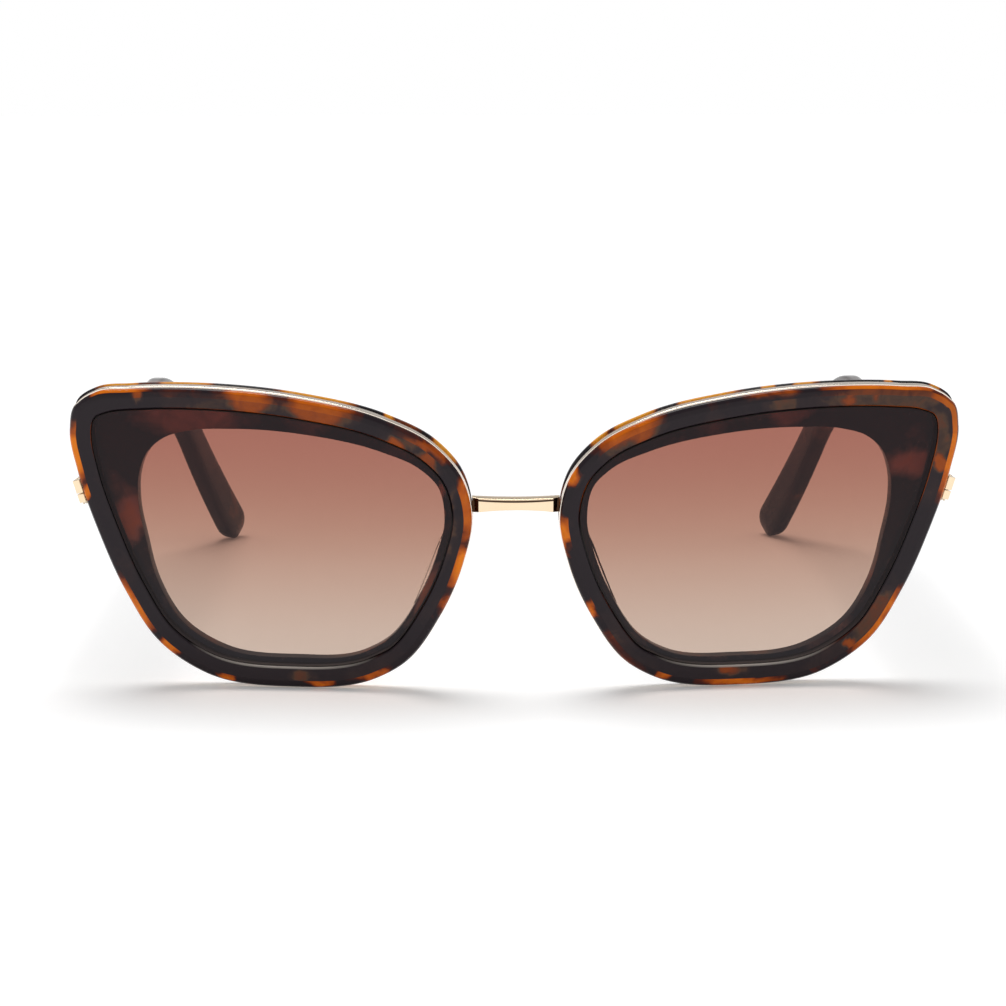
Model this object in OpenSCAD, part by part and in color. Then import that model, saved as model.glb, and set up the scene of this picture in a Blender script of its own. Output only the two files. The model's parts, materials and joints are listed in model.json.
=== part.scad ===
// Cat eye sunglasses, standing open on the rims and the temple tips.
// Two acetate rims, each held in a metal eyewire that a screw closes at the temple side.
// A metal bridge joins the eyewires, and screwed barrel hinges carry the temples.
// Millimetres, +Z up. The front faces -Y, and X = 0 is the plane of symmetry.
// The glasses are drawn upright for their right half, then tilted to rest on the table.

/* [Rims] */
// Width of one rim
rim_w = 64.4; // [60:0.1:70]
// Height of one rim
rim_h = 49.1; // [45:0.1:54]
// Gap between the two rims
rim_gap = 13.6; // [12:0.2:18]
// Thickness of the rim, front to back
rim_t = 4; // [3.8:0.1:5]
// Radius that the whole front is bent to
front_r = 330; // [260:10:600]
// Width of the front face above the lens
face_brow = 3.3; // [3.2:0.1:4.6]
// Width of the front face at the temple side
face_outer = 3.6; // [3.4:0.1:4.6]
// Width of the front face below the lens
face_bottom = 3.6; // [3.4:0.1:4.1]
// Width of the front face beside the nose
face_nose = 3.1; // [2.6:0.1:4.2]
// How much wider the front face is at its upper outer corner, which rounds the lens there
face_corner = 0.7; // [0:0.1:1]
// Width of the back of the rim above the opening
back_brow = 6.9; // [6:0.1:8]
// Width of the back of the rim at the temple side
back_outer = 10.7; // [9:0.1:12]
// Width of the back of the rim below the opening
back_bottom = 4.7; // [4.7:0.1:6]
// Width of the back of the rim beside the nose
back_nose = 4.5; // [4.2:0.1:6]
// Width of the bevel round the front face
bevel_w = 1.3; // [0.5:0.1:1.5]
// Depth of the bevel round the front face
bevel_d = 0.7; // [0.4:0.1:1]
// Bevel of the edges at the back
back_bevel = 0.4; // [0.2:0.05:0.6]
// How far the edge in front of the eyewire stands inside the edge behind it
front_step = 0.05; // [0:0.05:0.4]
// How much further that edge and the eyewire stand in at the upper outer corner
corner_step = 0.5; // [0:0.1:0.8]

/* [Lenses] */
// Thickness of the lens
lens_t = 1.7; // [1.4:0.1:2]
// How far the lens lies behind the front face
lens_set = 0.05; // [0:0.05:0.2]
// Gap between the lens edge and the rim
lens_gap = 0.15; // [0.1:0.05:0.3]

/* [Eyewires and bridge] */
// Width of the eyewire, front to back
wire_w = 1.7; // [1.2:0.1:2]
// Height of the eyewire, from the groove outward
wire_h = 0.9; // [0.6:0.1:1.2]
// How far the eyewire stands out of its groove
wire_proud = 0.05; // [0:0.05:0.3]
// Distance from the front face to the eyewire
wire_back = 1.1; // [0.9:0.05:1.3]
// Height of the bridge's centre above the lowest point of the rims
bridge_z = 30.6; // [27:0.2:33]
// Height of the bridge at its ends
bridge_h = 2.4; // [1.8:0.1:3]
// Depth of the bridge, front to back
bridge_w = 1.8; // [1.2:0.1:2.4]
// Rise of the arch under the bridge
bridge_arch = 0.4; // [0.2:0.05:0.7]
// Dip of the bridge's top
bridge_dip = 0.2; // [0.05:0.05:0.3]
// Length and depth of the bevels at the ends of the bridge's face
bridge_bevel_l = 0.8; // [0.5:0.1:1.2]
bridge_bevel_d = 0.5; // [0.3:0.1:0.8]

/* [Rim locks] */
// Height of the split between the rim locks above the lowest point of the rims
lock_z = 31; // [26:0.2:33]
// Height of the upper half of the lock
lock_h = 2.2; // [1.6:0.1:2.6]
// Height of the lower half of the lock
lock_low_h = 1.5; // [1.4:0.1:2.4]
// How far the lock stands out from the rim
lock_out = 1.2; // [1.1:0.1:2]
// Depth of the lock, front to back
lock_w = 2.4; // [2:0.1:3]
// Gap between the halves of the lock
split_gap = 0.2; // [0.1:0.05:0.4]
// Diameter of the closing screw
lock_screw_d = 0.7; // [0.5:0.1:0.8]
// Diameter of the closing screw's head
lock_head_d = 1.1; // [0.9:0.1:1.3]
// Height of the closing screw's head
lock_head_h = 0.4; // [0.3:0.05:0.6]
// Width of the slot in the closing screw's head
lock_slot = 0.3; // [0.2:0.05:0.4]

/* [Hinges] */
// Distance from the front of the rim to the hinge axis
hinge_back = 7.4; // [7:0.1:10]
// Height of the hinge's middle above the split of the lock
hinge_up = 0.3; // [0:0.1:1]
// Outer diameter of the hinge barrels
barrel_d = 3; // [2.6:0.1:3.4]
// Height of each of the three barrels
barrel_h = 1.6; // [1.3:0.1:2]
// Gap between neighbouring barrels
barrel_gap = 0.1; // [0.05:0.01:0.2]
// Gap between the barrels and what they turn past
barrel_clear = 0.2; // [0.15:0.05:0.4]
// Diameter of the hinge screw
hinge_screw_d = 1.3; // [1:0.1:1.6]
// Diameter of the hinge screw's head
hinge_head_d = 2.4; // [2:0.1:2.6]
// Height of the hinge screw's head
hinge_head_h = 0.6; // [0.4:0.05:0.9]
// Width of the slot in the hinge screw's head
hinge_slot = 0.5; // [0.3:0.05:0.6]
// Radial clearance of the screws in their bores
pin_fit = 0.05; // [0.02:0.01:0.1]
// Thickness of the endpiece's plate, which stops the temple
plate_t = 1; // [0.8:0.1:1.4]
// Thickness of the metal cap on the temple's front end
cap_t = 0.8; // [0.6:0.1:1.2]
// Gap between the plate and the cap when the temple is open
stop_gap = 0.15; // [0.1:0.05:0.3]

/* [Temples] */
// Thickness of the temple
temple_t = 3.8; // [3:0.1:4.2]
// Height of the temple at the hinge
temple_h = 7.4; // [6.4:0.1:9]
// Height of the temple where its bend starts
waist_h = 6; // [5.6:0.1:7.4]
// Height of the temple at its tip
tip_h = 8; // [6:0.1:9]
// How far the temple stands outside the rim at the hinge
temple_out = 0.9; // [0.6:0.1:1.8]
// Length from the hinge to the bend
temple_run = 93; // [85:1:99]
// Length of the drop behind the bend
tip_len = 54; // [48:1:60]
// Radius of the bend
bend_r = 28; // [24:1:32]
// Angle of the drop
bend_angle = 57; // [50:1:62]
// Angle between the temples and a line square to the front
panto = 5.5; // [2:0.5:7]
// Angle that the open temples lean inward
toe_in = 0.2; // [0:0.1:4]
// How far the tip curves inward
tip_in = 12; // [0:0.5:14]
// Angle that the tip turns about its own length to lie against the head
tip_turn = 18; // [0:1:20]
// Width of the core wire in the temple
core_w = 2.2; // [1.8:0.1:2.6]
// Thickness of the core wire
core_t = 0.9; // [0.7:0.1:1.2]
// Length of temple behind the end of the core wire
core_short = 12; // [8:1:20]

/* [Nose pads] */
// Height of the pad's lower end
pad_low = 7.5; // [6.5:0.5:12]
// Height of the pad's upper end
pad_top = 26.5; // [23:0.5:29]
// How far the pad stands behind the rim
pad_d = 7; // [5:0.5:8]
// Rim left bare beside the pad, on the nose side
pad_edge = 0.9; // [0.6:0.1:1.4]
// How far the pad reaches over the rim's opening
pad_over = 0.9; // [0.8:0.1:1.8]

/* [Hidden] */

// Clearance of seated, brazed and bonded faces
seat_gap = 0.05;
// Clearance of the bridge's square ends beside the sloping eyewires
bridge_gap = 0.1;
// How far a cut runs past the faces that it opens
over = 1;
// Share of the front bevel that its middle edge keeps, where 0.5 would make it flat
bevel_round = 0.3;
// Rings of each skin between two points of an outline
steps = 5;
// Step along an outline over which its direction is taken
probe = 0.02;
// The same for the front face's inner edge, wide enough to carry it round the sharp corner
corner_probe = 1.2;
// How closely the step and the wider face at the upper outer corner keep to the corner
corner_power = 6;
// Sizes of the rings of each face of the lens, as shares of its outline
lens_shares = [0.5, 0.8, 1];
// Sides of the temple's section
sides = 16;
// Rings along the temple's straight run and along its bend
run_rings = 5;
bend_rings = 8;
// How the tip's inward curve grows along it, where 1 would be straight
tip_power = 1.5;
// Angles at which the temple's round tip has its rings
tip_angles = [0:16:80];
// Rings along a nose pad
pad_rings = 12;
// Width and depth of a pad's ends, as shares of those at its middle
pad_end_w = 0.9;
pad_end_d = 0.15;
// Section of a pad, in shares of its width and depth, from the nose side round to the lens
pad_shape = [[0, 0], [0.1, 0.45], [0.32, 0.82], [0.6, 1], [0.9, 0.94], [1, 0.6], [1, 0]];
// Segments of round pieces and of wide arcs
round_fn = 48;
arc_fn = 192;

// Outline of the rim, in per cent of its width and height, clockwise from the nose
rim_curve = [[0, 59.5], [2.8, 73.5], [9.2, 83], [21, 91], [42, 97.5], [66, 100], [85, 99],
    [93.7, 97.4], [98.5, 93.4], [100, 85], [98.3, 70.3], [93.4, 50], [87, 30.4], [78.8, 13.8],
    [66.5, 3.4], [45.7, 0], [24.2, 3.6], [17.4, 8.7], [8.1, 25.2], [2.1, 44]];
// Outline of the opening behind the lens, in the same way, point for point beside the rim's
opening_curve = [[0, 62.8], [2.2, 76.8], [7.9, 84.2], [20, 91.3], [44.6, 98.3], [68.2, 100], [83.2, 98.4],
    [91, 95], [96.4, 88.7], [99.5, 78.6], [100, 66.8], [98, 51], [94.2, 31.2], [86.3, 14],
    [73, 3.3], [48.6, 0], [27, 2.8], [19, 8.6], [8.7, 27.3], [2.8, 45.7]];
spans = len(rim_curve);
// The rim's highest and lowest points: the temple side runs down between them, the nose side up
curve_heights = [for (p = rim_curve) p[1]];
top_point = search(max(curve_heights), curve_heights)[0];
low_point = search(min(curve_heights), curve_heights)[0];
rim_points = [for (p = rim_curve) [rim_gap / 2 + p[0] * rim_w / 100, p[1] * rim_h / 100]];
opening_w = rim_w - back_nose - back_outer;
opening_h = rim_h - back_bottom - back_brow;
opening_points = [for (p = opening_curve)
    [rim_gap / 2 + back_nose + p[0] * opening_w / 100, back_bottom + p[1] * opening_h / 100]];

// Depths behind the front face
rebate = lens_set + lens_t + seat_gap;
groove_front = wire_back - seat_gap;
groove_back = wire_back + wire_w + seat_gap;
groove_d = wire_h - wire_proud + seat_gap;

function unit(v) = v / norm(v);
function degrees(radians) = radians * 180 / PI;

// Direction of a closed curve at its point i, weighted by the spans on either side
function direction(p, i) =
    let (n = len(p), a = p[(i + n - 1) % n], b = p[i % n], c = p[(i + 1) % n])
    let (before = norm(b - a), after = norm(c - b))
    ((b - a) * after / before + (c - b) * before / after) / (before + after);

// Point at t on the smooth closed curve through the points p
function along(p, t) =
    let (n = len(p), i = floor(t), f = t - i, a = p[i % n], b = p[(i + 1) % n], d = norm(b - a))
    a * (2 * f ^ 3 - 3 * f ^ 2 + 1) + b * (3 * f ^ 2 - 2 * f ^ 3)
    + d * direction(p, i) * (f ^ 3 - 2 * f ^ 2 + f) + d * direction(p, i + 1) * (f ^ 3 - f ^ 2);

// Place on the rim's outline, and the direction out of the rim there
function rim_at(t) = along(rim_points, t + spans);
function outward(t, step = probe) =
    let (d = unit(rim_at(t + step) - rim_at(t - step)))
    [-d[1], d[0]];

// How far the direction u looks to the upper outer corner, from 0 to 1
function cornering(u) = max(0, u * unit([1, 1])) ^ corner_power;

// Width of the front face where the outline looks towards u, the face's inner edge, and the lens's edge
function face_at(u) =
    u[0] ^ 2 * (u[0] > 0 ? face_outer : face_nose) + u[1] ^ 2 * (u[1] > 0 ? face_brow : face_bottom)
    + face_corner * cornering(u);
function face_edge(t) =
    let (u = outward(t, corner_probe))
    rim_at(t) - face_at(u) * u;
function lens_edge(t) =
    let (d = unit(face_edge(t + probe) - face_edge(t - probe)))
    face_edge(t) + lens_gap * [d[1], -d[0]];

// Where the outline reaches the height z between the points lo and hi, by halving
halvings = 24;
function reach(z, lo, hi, n = halvings) =
    let (mid = (lo + hi) / 2, rising = rim_at(hi)[1] > rim_at(lo)[1])
    n == 0 ? mid
    : (rim_at(mid)[1] < z) == rising ? reach(z, mid, hi, n - 1)
    : reach(z, lo, mid, n - 1);
function reach_outer(z) = reach(z, top_point, low_point);
function reach_nose(z) = reach(z, low_point, top_point + spans);

// A point of the flat front, n behind its face, once the front is bent
function turn(x) = degrees(x / front_r);
function bent(p, n) =
    [(front_r - n) * sin(turn(p[0])), front_r - (front_r - n) * cos(turn(p[0])), p[1]];

// A point w inside the rim's outline and n behind its face
function inside(t, w, n) = bent(rim_at(t) - w * outward(t), n);

// How far the eyewire's seat stands inside the rim's outline: only at the upper outer corner
function step_at(t) = corner_step * cornering(outward(t));

// Section of the rim: bevel, groove for the eyewire, back, opening and lens rebate
function rim_ring(t) =
    let (opening = along(opening_points, t), u = unit(rim_at(t) - opening), edge = face_edge(t))
    let (front = step_at(t) + front_step, floor = step_at(t) + groove_d)
    [inside(t, front + bevel_w, 0),
    inside(t, front + bevel_w * bevel_round, bevel_d * bevel_round),
    inside(t, front, bevel_d),
    inside(t, front, groove_front),
    inside(t, floor, groove_front),
    inside(t, floor, groove_back),
    inside(t, 0, groove_back),
    inside(t, 0, rim_t - back_bevel),
    inside(t, back_bevel, rim_t),
    bent(opening + back_bevel * u, rim_t),
    bent(opening, rim_t - back_bevel),
    bent(opening, rebate),
    bent((opening + edge) / 2, rebate),
    bent(edge, rebate),
    bent(edge, 0)];

// Section of the eyewire
function wire_ring(t) =
    let (outer = step_at(t) - wire_proud, inner = outer + wire_h)
    [inside(t, outer, wire_back),
    inside(t, outer, wire_back + wire_w),
    inside(t, inner, wire_back + wire_w),
    inside(t, inner, wire_back)];

// The lens outline drawn in to a share of its size, n behind the front face
lens_centre = [rim_gap / 2 + rim_w / 2, rim_h / 2];
function lens_ring(share, n) =
    [for (i = [0:spans * steps - 1])
        bent(lens_centre + share * (lens_edge(i / steps) - lens_centre), n)];

// The split of the eyewire, and the frame of the lock that closes it
lock_t = reach_outer(lock_z);
lock_place = bent(rim_at(lock_t), 0);
lock_turn = turn(rim_at(lock_t)[0]);
lock_lean = -atan2(outward(lock_t)[1], outward(lock_t)[0]);
lock_in = wire_proud + seat_gap;
lock_front = wire_back + wire_w / 2 - lock_w / 2;
lock_rear = lock_front + lock_w;
lock_mid = [(lock_in + lock_out) / 2, (lock_front + lock_rear) / 2];

// The hinge: its axis lies inside the temple, behind the rim
outer_x = lock_place[0] + temple_out;
hinge_x = outer_x - temple_t - barrel_d / 2 - barrel_clear;
hinge_y = lock_place[1] + hinge_back;
hinge_z = lock_z + hinge_up;
stack_h = 3 * barrel_h + 2 * barrel_gap;
plate_rear = hinge_y - cap_t / 2 - stop_gap;

// The temple's path from the hinge: straight, through the bend, then straight down to the tip
temple_len = temple_run + tip_len;
bend_len = bend_r * bend_angle * PI / 180;
function slope(s) = panto + min(bend_angle, max(0, degrees((s - temple_run) / bend_r)));
function path(s) =
    let (a = slope(s), straight = min(s, temple_run), rest = max(0, s - temple_run - bend_len))
    let (lean = s * tan(toe_in) + tip_in * (max(0, s - temple_run) / tip_len) ^ tip_power)
    [outer_x - temple_t / 2 - lean,
    hinge_y + straight * cos(panto) + bend_r * (sin(a) - sin(panto)) + rest * cos(a),
    hinge_z - straight * sin(panto) - bend_r * (cos(panto) - cos(a)) - rest * sin(a)];

// A rounded section of thickness t and height h
function section(t, h) =
    [for (i = [0:sides - 1])
        let (a = (i + 0.5) * 360 / sides, c = cos(a), v = sin(a))
        [sign(c) * sqrt(abs(c)) * t / 2, sign(v) * sqrt(abs(v)) * h / 2]];

// The section set across the path, cut upright at the cap and turned towards the tip
temple_front = cap_t / 2 + seat_gap;
function path_ring(s, t, h) =
    let (cut = s > temple_front ? slope(s) : 0, twist = tip_turn * max(0, s - temple_run) / tip_len)
    [for (p = section(t, h))
        let (x = p[0] * cos(twist) - p[1] * sin(twist), z = p[0] * sin(twist) + p[1] * cos(twist))
        path(s) + [x, z * sin(cut), z * cos(cut)]];
function eased(f) = (1 - cos(180 * max(0, min(1, f)))) / 2;
function temple_height(s) =
    temple_h + (waist_h - temple_h) * eased(s / temple_run)
    + (tip_h - waist_h) * eased((s - temple_run) / tip_len);

// Rings along the temple: few on the straight run, more through the bend, and the round tip
tip_r = tip_h / 2;
run_stations = [for (i = [0:run_rings]) temple_front + (temple_run - temple_front) * i / run_rings];
bend_stations = [for (i = [1:bend_rings]) temple_run + bend_len * i / bend_rings];
core_end = temple_len - core_short;
temple_rings = concat(
    [for (s = concat(run_stations, bend_stations)) path_ring(s, temple_t, temple_height(s))],
    [for (a = tip_angles)
        let (s = temple_len - tip_r + tip_r * sin(a))
        path_ring(s, temple_t * cos(a), temple_height(s) * cos(a))]);
core_stations = concat(run_stations, bend_stations, [core_end]);
function core_rings(gap) =
    [for (s = core_stations) path_ring(s + (s == core_end ? gap : 0), core_t + 2 * gap, core_w + 2 * gap)];
function reversed(list) = [for (i = [len(list) - 1:-1:0]) list[i]];

// The pad's section at the share f of its length: a wedge that leans away from the nose
pad_from = reach_nose(pad_low);
pad_to = reach_nose(pad_top);
function pad_ring(f) =
    let (t = pad_from + (pad_to - pad_from) * f, swell = sin(180 * f))
    let (wide = norm(rim_at(t) - along(opening_points, t)) - pad_edge - back_bevel)
    let (w = wide * (pad_end_w + (1 - pad_end_w) * swell) + pad_over * swell)
    let (d = pad_d * (pad_end_d + (1 - pad_end_d) * swell))
    [for (p = pad_shape) inside(t, pad_edge + w * p[0], rim_t + seat_gap + d * p[1])];

// The tilt at which the rims' edges and the tips stand on one table
tip_centre = path(temple_len - tip_r);
foot_edges = [[front_step, bevel_d], [-wire_proud, wire_back], [0, groove_back]];
rim_feet = [for (i = [0:spans * steps - 1], edge = foot_edges) inside(i / steps, edge[0], edge[1])];
function lowest(points, lean) =
    let (heights = [for (p = points) p[1] * sin(lean) + p[2] * cos(lean)])
    points[search(min(heights), heights)[0]];
function tilt_on(p) =
    let (y = tip_centre[1] - p[1], z = p[2] - tip_centre[2])
    atan2(z, y) + asin(tip_r / norm([y, z]));
foot = lowest(rim_feet, tilt_on(lowest(rim_feet, 0)));
tilt = tilt_on(foot);
function tilted_y(p) = (p[1] - foot[1]) * cos(tilt) - (p[2] - foot[2]) * sin(tilt);
rim_rings = [for (i = [0:spans * steps - 1]) rim_ring(i / steps)];
front_y = min([for (r = rim_rings, p = r) tilted_y(p)]);
back_y = max([for (r = temple_rings, p = r) tilted_y(p)]);

// Middle of a ring of points
function middle(ring) = [for (p = ring) 1] * ring / len(ring);

// Skin over rings of points, joined end to end or capped round the middle of each end
module skin(rings, closed = false) {
    k = len(rings);
    m = len(rings[0]);
    last = (k - 1) * m;
    walls = [for (i = [0:k - (closed ? 1 : 2)], j = [0:m - 1])
        let (a = i * m + j, b = i * m + (j + 1) % m, c = ((i + 1) % k) * m + (j + 1) % m)
        let (d = ((i + 1) % k) * m + j)
        each [[a, b, c], [a, c, d]]];
    caps = [for (j = [0:m - 1])
        let (next = (j + 1) % m)
        each [[k * m, next, j], [k * m + 1, last + j, last + next]]];
    points = [for (r = rings) each r];
    polyhedron(closed ? points : concat(points, [middle(rings[0]), middle(rings[k - 1])]),
        closed ? walls : concat(walls, caps));
}

// Stands the upright glasses on the table, with the middle of their depth at Y = 0
module stand() {
    translate([0, -(front_y + back_y) / 2, 0])
        rotate([tilt, 0, 0])
            translate([0, -foot[1], -foot[2]])
                children();
}

// Draws a piece of the right half, side 1, or its mirror image, side -1
module half(side) {
    stand()
        mirror([side < 0 ? 1 : 0, 0, 0])
            children();
}

// Frame of the lock: X out of the rim, Y behind its face, Z up along its edge
module at_lock() {
    translate(lock_place)
        rotate([0, lock_lean, lock_turn])
            children();
}

module at_hinge() {
    translate([hinge_x, hinge_y, hinge_z])
        children();
}

module rim(side) {
    color("saddlebrown")
        half(side)
            skin(rim_rings, closed = true);
}

module lens(side) {
    front = lens_set;
    rear = lens_set + lens_t;
    color("rosybrown")
        half(side)
            skin(concat([for (share = lens_shares) lens_ring(share, rear)],
                [for (share = reversed(lens_shares)) lens_ring(share, front)]));
}

// Open band in the rim's groove, from one half of the lock round to the other
module eyewire(side) {
    open = split_gap * probe / norm(rim_at(lock_t + probe) - rim_at(lock_t - probe));
    count = spans * steps;
    from = lock_t + open;
    to = lock_t + spans - open;
    color("gold")
        half(side)
            skin([for (i = [0:count]) wire_ring(from + (to - from) * i / count)]);
}

// Bar with a flat face, arched below and dipped on top, brazed between the eyewires
module bridge() {
    ends = [for (z = [-bridge_h / 2, 0, bridge_h / 2])
        inside(reach_nose(bridge_z + z), -wire_proud, wire_back)[0]];
    span = 2 * (min(ends) - bridge_gap);
    arch_r = span ^ 2 / 8 / bridge_arch + bridge_arch / 2;
    dip_r = span ^ 2 / 8 / bridge_dip + bridge_dip / 2;
    flat = span / 2 - bridge_bevel_l;
    rear = bridge_w / 2;
    color("gold")
        stand()
            translate([0, wire_back + wire_w / 2, bridge_z])
                intersection() {
                    rotate([90, 0, 0])
                        linear_extrude(bridge_w, center = true)
                            difference() {
                                square([span, bridge_h], center = true);
                                translate([0, -bridge_h / 2 + bridge_arch - arch_r])
                                    circle(arch_r, $fn = arc_fn);
                                translate([0, bridge_h / 2 - bridge_dip + dip_r])
                                    circle(dip_r, $fn = arc_fn);
                            }
                    linear_extrude(2 * bridge_h, center = true)
                        polygon([[-span / 2, rear], [span / 2, rear], [span / 2, bridge_bevel_d - rear],
                            [flat, -rear], [-flat, -rear], [-span / 2, bridge_bevel_d - rear]]);
                }
}

// One half of the lock, from z0 to z1 along the rim's edge, bored for the closing screw
module lock_half(z0, z1) {
    difference() {
        translate([lock_in, lock_front, z0])
            cube([lock_out - lock_in, lock_w, z1 - z0]);
        translate([lock_mid[0], lock_mid[1], z0 - over])
            cylinder(z1 - z0 + 2 * over, d = lock_screw_d + 2 * pin_fit, $fn = round_fn);
    }
}

module upper_lock(side) {
    color("gold")
        half(side)
            at_lock()
                lock_half(split_gap / 2, lock_h);
}

module lower_lock(side) {
    color("gold")
        half(side)
            at_lock()
                lock_half(-lock_low_h, -split_gap / 2);
}

module closing_screws() {
    head_z = -seat_gap - lock_head_h;
    color("silver")
        for (side = [-1, 1])
            half(side)
                at_lock()
                    translate([lock_mid[0], lock_mid[1], -lock_low_h])
                        difference() {
                            union() {
                                translate([0, 0, -seat_gap])
                                    cylinder(lock_low_h + lock_h, d = lock_screw_d, $fn = round_fn);
                                translate([0, 0, head_z])
                                    cylinder(lock_head_h, d = lock_head_d, $fn = round_fn);
                            }
                            translate([-lock_slot / 2, -lock_head_d, head_z - lock_head_h / 2])
                                cube([lock_slot, 2 * lock_head_d, lock_head_h]);
                        }
}

// Neck behind the upper lock, the plate that stops the temple, and the two outer barrels
module endpiece(side) {
    neck_front = lock_rear + seat_gap;
    neck_rear = (plate_rear - lock_place[1] - lock_out * sin(lock_turn)) / cos(lock_turn);
    plate_x = outer_x - hinge_x;
    color("gold")
        half(side) {
            difference() {
                union() {
                    at_lock()
                        translate([lock_in, neck_front, split_gap / 2])
                            cube([lock_out - lock_in, neck_rear - neck_front, lock_h - split_gap / 2]);
                    at_hinge() {
                        translate([0, plate_rear - plate_t - hinge_y, -stack_h / 2])
                            cube([plate_x, plate_t, stack_h]);
                        cylinder(stack_h, d = barrel_d, center = true, $fn = round_fn);
                    }
                }
                at_hinge() {
                    cylinder(barrel_h + 2 * barrel_gap, d = barrel_d + 2 * barrel_clear,
                        center = true, $fn = round_fn);
                    cylinder(stack_h + over, d = hinge_screw_d + 2 * pin_fit,
                        center = true, $fn = round_fn);
                }
            }
        }
}

// Cap over the temple's front end, with the arm and the middle barrel of the hinge
module hinge_leaf(side) {
    cap_x = outer_x - temple_t / 2 - hinge_x;
    color("gold")
        half(side)
            at_hinge()
                difference() {
                    union() {
                        translate([cap_x, cap_t / 2, 0])
                            rotate([90, 0, 0])
                                linear_extrude(cap_t)
                                    polygon(section(temple_t, temple_h));
                        translate([0, -cap_t / 2, -barrel_h / 2])
                            cube([cap_x, cap_t, barrel_h]);
                        cylinder(barrel_h, d = barrel_d, center = true, $fn = round_fn);
                    }
                    cylinder(barrel_h + over, d = hinge_screw_d + 2 * pin_fit,
                        center = true, $fn = round_fn);
                }
}

module hinge_screws() {
    head_z = stack_h / 2 + seat_gap;
    color("silver")
        for (side = [-1, 1])
            half(side)
                at_hinge()
                    difference() {
                        union() {
                            translate([0, 0, -stack_h / 2])
                                cylinder(stack_h + 2 * seat_gap, d = hinge_screw_d, $fn = round_fn);
                            translate([0, 0, head_z])
                                cylinder(hinge_head_h, d = hinge_head_d, $fn = round_fn);
                        }
                        translate([-hinge_slot / 2, -hinge_head_d, head_z + hinge_head_h / 2])
                            cube([hinge_slot, 2 * hinge_head_d, hinge_head_h]);
                    }
}

// Acetate over the core wire, with the channel that the wire lies in
module temple(side) {
    color("saddlebrown")
        half(side)
            skin(concat(reversed(core_rings(seat_gap)), temple_rings));
}

module core_wire(side) {
    color("silver")
        half(side)
            skin(core_rings(0));
}

module nose_pad(side) {
    color("whitesmoke")
        half(side)
            skin([for (i = [0:pad_rings]) pad_ring(i / pad_rings)]);
}

rim(-1);  // left_rim
rim(1);  // right_rim
lens(-1);  // left_lens
lens(1);  // right_lens
eyewire(-1);  // left_eyewire
eyewire(1);  // right_eyewire
bridge();
upper_lock(-1);  // left_upper_lock
upper_lock(1);  // right_upper_lock
lower_lock(-1);  // left_lower_lock
lower_lock(1);  // right_lower_lock
closing_screws();
endpiece(-1);  // left_endpiece
endpiece(1);  // right_endpiece
hinge_leaf(-1);  // left_hinge_leaf
hinge_leaf(1);  // right_hinge_leaf
hinge_screws();
core_wire(-1);  // left_core_wire
core_wire(1);  // right_core_wire
temple(-1);  // left_temple
temple(1);  // right_temple
nose_pad(-1);  // left_nose_pad
nose_pad(1);  // right_nose_pad
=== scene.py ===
import json
import math

import bmesh
import bpy
from mathutils import Matrix, Vector, noise


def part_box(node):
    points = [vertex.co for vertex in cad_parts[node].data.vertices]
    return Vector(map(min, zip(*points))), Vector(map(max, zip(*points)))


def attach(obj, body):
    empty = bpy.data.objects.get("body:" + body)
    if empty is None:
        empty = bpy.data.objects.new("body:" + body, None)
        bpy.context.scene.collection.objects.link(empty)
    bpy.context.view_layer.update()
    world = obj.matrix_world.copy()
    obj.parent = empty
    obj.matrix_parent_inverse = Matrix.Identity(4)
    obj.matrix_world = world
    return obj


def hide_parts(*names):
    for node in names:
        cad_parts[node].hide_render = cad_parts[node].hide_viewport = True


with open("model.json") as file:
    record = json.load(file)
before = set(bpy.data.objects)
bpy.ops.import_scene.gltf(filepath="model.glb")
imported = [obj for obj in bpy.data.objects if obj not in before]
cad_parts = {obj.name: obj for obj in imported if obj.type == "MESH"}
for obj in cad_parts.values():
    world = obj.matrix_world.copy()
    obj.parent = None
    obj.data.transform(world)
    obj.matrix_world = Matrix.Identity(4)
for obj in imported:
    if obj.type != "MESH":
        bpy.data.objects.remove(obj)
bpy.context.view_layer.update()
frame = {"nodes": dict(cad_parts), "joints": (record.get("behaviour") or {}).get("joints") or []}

# RIMS
# Two plates of tortoiseshell acetate, sawn to the cat eye outline and polished. A groove round the
# edge takes the eyewire, and a rebate in the front takes the lens. Both are bent to one curve.

# Sizes in millimetres, drawn upright for the right half, then mirrored and stood on the table.
rim_w, rim_h, rim_gap, rim_t = 64.4, 49.1, 13.6, 4
front_r = 330
face_brow, face_outer, face_bottom, face_nose, face_corner = 3.3, 3.6, 3.6, 3.1, 0.7
back_brow, back_outer, back_bottom, back_nose = 6.9, 10.7, 4.7, 4.5
bevel_w, bevel_d, bevel_round = 1.3, 0.7, 0.3
back_bevel, back_round, groove_round = 0.4, 0.15, 0.06
front_step, brow_step = 0.05, 0.14
corner_step, corner_power, nose_step, nose_power = 0.5, 6, 0.35, 4
corner_t, filed_half, filed_reach = 7.7, 2.4, 0.75
lens_t, lens_set, lens_gap, seat_gap = 1.7, 0.05, 0.15, 0.05
wire_w, wire_h, wire_proud, wire_back = 1.7, 0.9, 0.05, 1.1
rebate = lens_set + lens_t + seat_gap
groove_front = wire_back - seat_gap
groove_back = wire_back + wire_w + seat_gap
groove_d = wire_h - wire_proud + seat_gap
rim_outline = [
    (0, 59.5), (2.8, 73.5), (9.2, 83), (21, 91), (42, 97.5), (66, 100), (85, 99), (93.7, 97.4),
    (98.5, 93.4), (100, 85), (98.3, 70.3), (93.4, 50), (87, 30.4), (78.8, 13.8), (66.5, 3.4),
    (45.7, 0), (24.2, 3.6), (17.4, 8.7), (8.1, 25.2), (2.1, 44)]
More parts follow.
